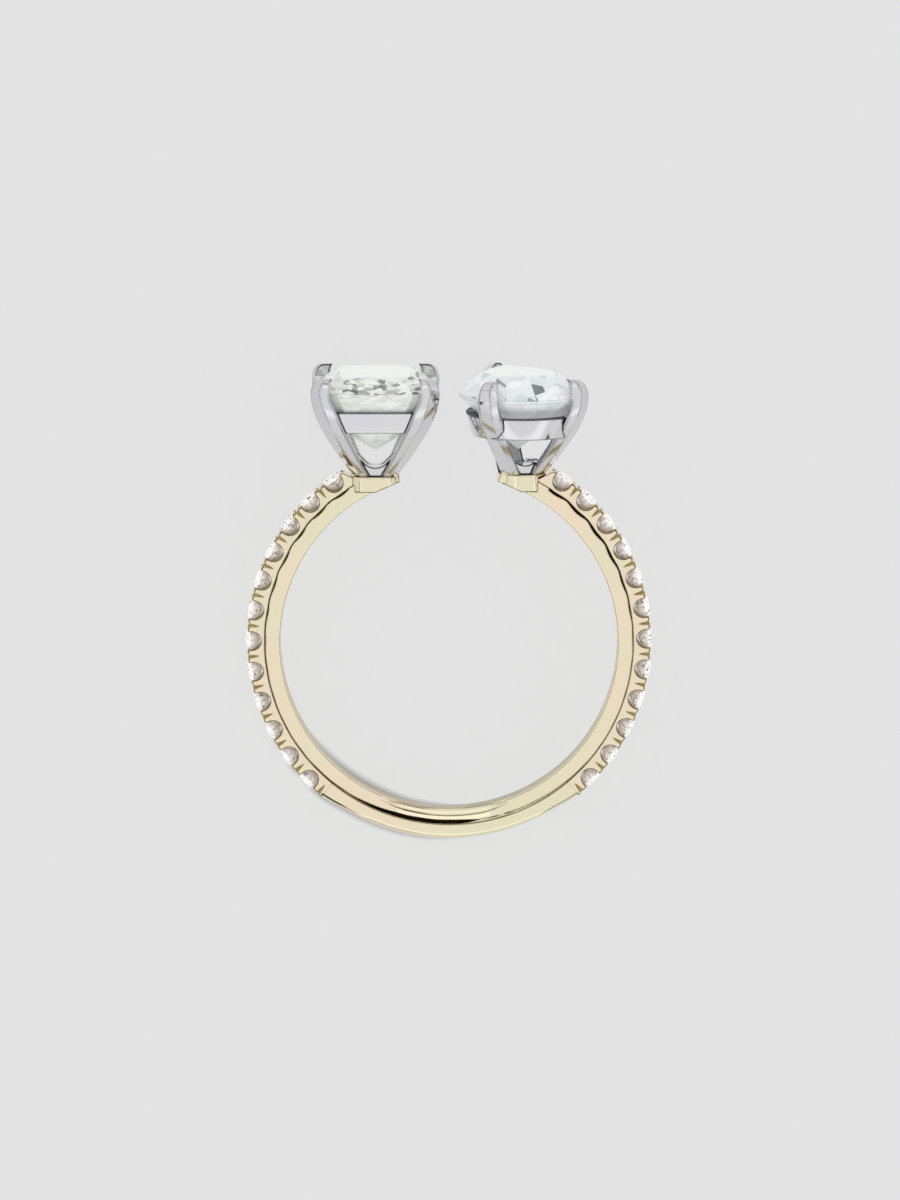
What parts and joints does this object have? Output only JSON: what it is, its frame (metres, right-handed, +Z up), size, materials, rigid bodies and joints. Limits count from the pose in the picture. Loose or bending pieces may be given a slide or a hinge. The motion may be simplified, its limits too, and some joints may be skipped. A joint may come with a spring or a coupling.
{
  "type": "toi et moi ring",
  "caption": "Finger ring with an open band, rows of small stones down both sides, and an emerald cut and a pear cut stone side by side in claw settings.",
  "frame": {"origin": "middle of the bounding box's base, on the surface on which the ring rests on its side", "axes": "+X across the ring from the emerald cut stone's side to the pear cut stone's side, +Y from the back of the band towards the settings, +Z up from the surface, along the finger hole but for the ring's lean at rest"},
  "size_m": [0.0198, 0.0233, 0.0097],
  "materials": {
    "yellow_gold": "polished",
    "white_gold": "polished",
    "diamond": "faceted and polished"
  },
  "bodies": {
    "root": {"shank": "yellow_gold", "emerald_setting": "white_gold", "pear_setting": "white_gold", "emerald_cut_stone": "diamond", "pear_cut_stone": "diamond", "left_small_stone_1": "diamond", "left_small_stone_2": "diamond", "left_small_stone_3": "diamond", "left_small_stone_4": "diamond", "left_small_stone_5": "diamond", "left_small_stone_6": "diamond", "left_small_stone_7": "diamond", "left_small_stone_8": "diamond", "left_small_stone_9": "diamond", "left_small_stone_10": "diamond", "left_small_stone_11": "diamond", "left_small_stone_12": "diamond", "right_small_stone_1": "diamond", "right_small_stone_2": "diamond", "right_small_stone_3": "diamond", "right_small_stone_4": "diamond", "right_small_stone_5": "diamond", "right_small_stone_6": "diamond", "right_small_stone_7": "diamond", "right_small_stone_8": "diamond", "right_small_stone_9": "diamond", "right_small_stone_10": "diamond", "right_small_stone_11": "diamond", "right_small_stone_12": "diamond"}
  },
  "joints": []
}
